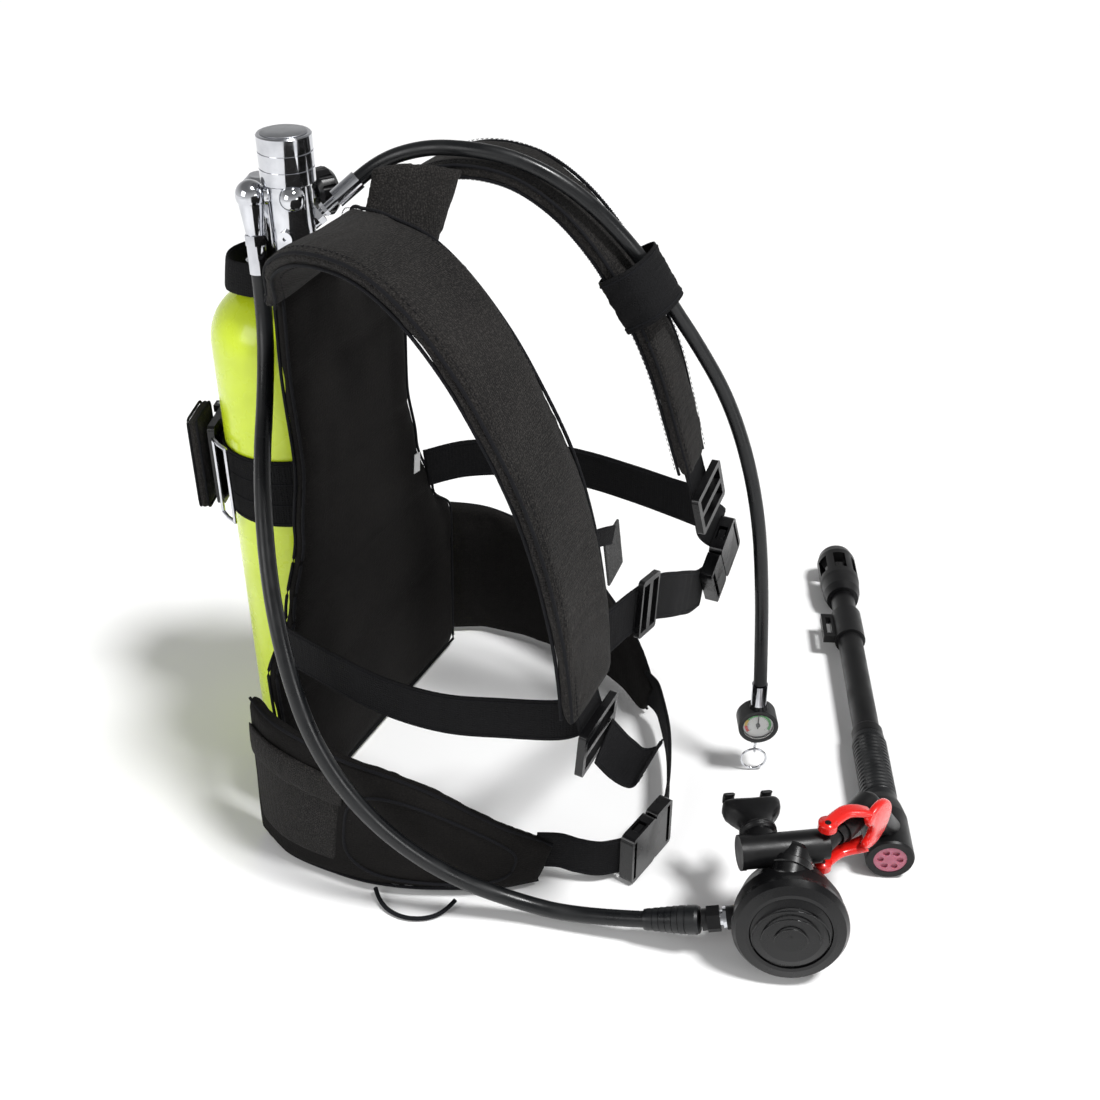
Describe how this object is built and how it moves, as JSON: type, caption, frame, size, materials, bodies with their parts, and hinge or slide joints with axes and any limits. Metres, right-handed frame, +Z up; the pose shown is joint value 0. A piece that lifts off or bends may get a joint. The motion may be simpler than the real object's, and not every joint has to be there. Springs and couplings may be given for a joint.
{
  "type": "air pack",
  "caption": "Compact breathing-air set: a slim cylinder on a padded harness with first stage, pressure gauge, second stage, and a snorkel that shares its mouthpiece.",
  "frame": {"origin": "centre of the cylinder's flat foot, on the floor", "axes": "+Z up along the cylinder, -Y the way the wearer faces, -X towards the wearer's right"},
  "size_m": [0.6475, 0.6436, 0.562],
  "materials": {
    "lime_paint": "gloss",
    "chrome_metal": "polished",
    "satin_metal": "satin",
    "brass_metal": "satin",
    "black_rubber": "satin",
    "gloss_black": "gloss",
    "matte_black": "matte",
    "padded_cloth": "heathered weave",
    "webbing_cloth": "woven",
    "red_plastic": "gloss",
    "silicone": "translucent",
    "clear_lens": "clear"
  },
  "bodies": {
    "pack": {"cylinder": "lime_paint", "valve_body": "chrome_metal", "first_stage_body": "chrome_metal", "first_stage_cap": "satin_metal", "main_spring": "satin_metal", "port_fittings": "chrome_metal", "lp_elbow": "chrome_metal", "hose_ferrules": "chrome_metal", "lp_hose": "black_rubber", "gauge_fitting": "chrome_metal", "gauge_hose": "black_rubber", "gauge_boot": "black_rubber", "gauge_case": "matte_black", "gauge_lens": "clear_lens", "bourdon_tube": "satin_metal", "wire_clips": "chrome_metal", "second_stage_case": "matte_black", "cover_ring": "gloss_black", "diaphragm": "silicone", "inlet_barrel": "brass_metal", "exhaust_tee": "matte_black", "hose_boot": "black_rubber", "manifold_tube": "matte_black", "mouthpiece": "black_rubber", "snorkel_elbow": "matte_black", "lower_chamber": "matte_black", "purge_valve": "silicone", "flex_section": "black_rubber", "snorkel_tube": "matte_black", "dry_top": "gloss_black", "back_panel": "padded_cloth", "shoulder_strap_right": "padded_cloth", "shoulder_strap_left": "padded_cloth", "yoke_collar": "padded_cloth", "hip_wings": "padded_cloth", "hose_sleeve": "padded_cloth", "cylinder_band": "webbing_cloth", "cam_body": "gloss_black", "neck_strap": "webbing_cloth", "side_bands": "webbing_cloth", "belt_webbing": "webbing_cloth", "webbing_ends": "webbing_cloth", "elastic_loop": "webbing_cloth", "strap_adjusters": "gloss_black", "buckle_housings": "gloss_black", "buckle_plugs": "gloss_black"},
    "handwheel": {"valve_handwheel": "black_rubber", "valve_stem": "satin_metal"},
    "seat_plug": {"valve_seat_plug": "brass_metal"},
    "piston": {"main_piston": "brass_metal"},
    "needle": {"gauge_needle": "matte_black"},
    "key_ring": {"split_ring": "chrome_metal"},
    "purge": {"purge_button": "silicone", "purge_spring": "satin_metal"},
    "demand_arm": {"demand_lever": "satin_metal"},
    "poppet_valve": {"poppet": "brass_metal"},
    "selector": {"selector_lever": "red_plastic"},
    "snorkel_float": {"dry_float": "matte_black"},
    "cam_handle": {"cam_lever": "padded_cloth"},
    "waist_arm_low": {"waist_buckle_arm_low": "gloss_black"},
    "waist_arm_high": {"waist_buckle_arm_high": "gloss_black"},
    "chest_arm_low": {"sternum_buckle_arm_low": "gloss_black"},
    "chest_arm_high": {"sternum_buckle_arm_high": "gloss_black"},
    "keeper": {"snorkel_keeper": "matte_black"}
  },
  "joints": [
    {"name": "handwheel_turn", "type": "hinge", "parent": "pack", "child": "handwheel", "pos_m": [0, 0, 0.495], "axis": [0.8645, -0.5026, 0], "range_deg": [0, 720]},
    {"name": "seat_plug_slide", "type": "slide", "parent": "pack", "child": "seat_plug", "axis": [0.8645, -0.5026, 0], "range_m": [0, 0.003]},
    {"name": "piston_slide", "type": "slide", "parent": "pack", "child": "piston", "axis": [0, 0, 1], "range_m": [-0.0015, 0], "stiffness_N_per_m": 6000, "springref_m": 0.004, "deforming": ["main_spring"]},
    {"name": "needle_turn", "type": "hinge", "parent": "pack", "child": "needle", "pos_m": [0.088, -0.4035, 0.056], "axis": [-0.9064, -0.4223, 0], "range_deg": [-135, 135], "stiffness_Nm_per_rad": 0.002},
    {"name": "ring_swing", "type": "hinge", "parent": "pack", "child": "key_ring", "pos_m": [0.088, -0.4035, 0.0241], "axis": [-0.4223, 0.9064, 0], "range_deg": [-60, 60]},
    {"name": "purge_press", "type": "slide", "parent": "pack", "child": "purge", "axis": [0.9206, 0.3352, -0.2001], "range_m": [0, 0.003], "stiffness_N_per_m": 600, "springref_m": -0.003},
    {"name": "demand_swing", "type": "hinge", "parent": "pack", "child": "demand_arm", "pos_m": [-0.10619, -0.51501, 0.05202], "axis": [-0.1238, -0.2356, -0.9639], "range_deg": [0, 8]},
    {"name": "poppet_slide", "type": "slide", "parent": "pack", "child": "poppet_valve", "axis": [0.3703, -0.9122, 0.1754], "range_m": [0, 0.0009]},
    {"name": "selector_turn", "type": "hinge", "parent": "pack", "child": "selector", "pos_m": [-0.06528, -0.50435, 0.086], "axis": [0, 0, -1], "range_deg": [0, 35]},
    {"name": "float_slide", "type": "slide", "parent": "pack", "child": "snorkel_float", "axis": [0.9336, 0.3582, 0], "range_m": [0, 0.012]},
    {"name": "cam_open", "type": "hinge", "parent": "pack", "child": "cam_handle", "pos_m": [-0.00243, 0.06807, 0.274], "axis": [0, 0, -1], "range_deg": [0, 100]},
    {"name": "keeper_slide", "type": "slide", "parent": "pack", "child": "keeper", "axis": [0.9336, 0.3582, 0], "range_m": [-0.02, 0.025]},
    {"name": "waist_arm_low_flex", "type": "hinge", "parent": "pack", "child": "waist_arm_low", "pos_m": [-0.04421, -0.36012, 0.039], "axis": [-0.1699, -0.9855, 0], "range_deg": [0, 6], "stiffness_Nm_per_rad": 0.4},
    {"name": "waist_arm_high_flex", "type": "hinge", "parent": "pack", "child": "waist_arm_high", "pos_m": [-0.04421, -0.36012, 0.012], "axis": [-0.1699, -0.9855, 0], "range_deg": [-6, 0], "stiffness_Nm_per_rad": 0.4},
    {"name": "chest_arm_low_flex", "type": "hinge", "parent": "pack", "child": "chest_arm_low", "pos_m": [0.12764, -0.344, 0.16577], "axis": [0, -1, 0], "range_deg": [0, 6], "stiffness_Nm_per_rad": 0.4},
    {"name": "chest_arm_high_flex", "type": "hinge", "parent": "pack", "child": "chest_arm_high", "pos_m": [0.11395, -0.344, 0.18904], "axis": [0, -1, 0], "range_deg": [-6, 0], "stiffness_Nm_per_rad": 0.4}
  ],
  "couplings": [
    {"joint": "seat_plug_slide", "follows": "handwheel_turn", "m_per_rad": 0.00023849},
    {"joint": "demand_swing", "follows": "purge_press", "rad_per_m": 46.496},
    {"joint": "poppet_slide", "follows": "purge_press", "ratio": 0.3},
    {"joint": "waist_arm_high_flex", "follows": "waist_arm_low_flex", "ratio": -1},
    {"joint": "chest_arm_high_flex", "follows": "chest_arm_low_flex", "ratio": -1}
  ]
}
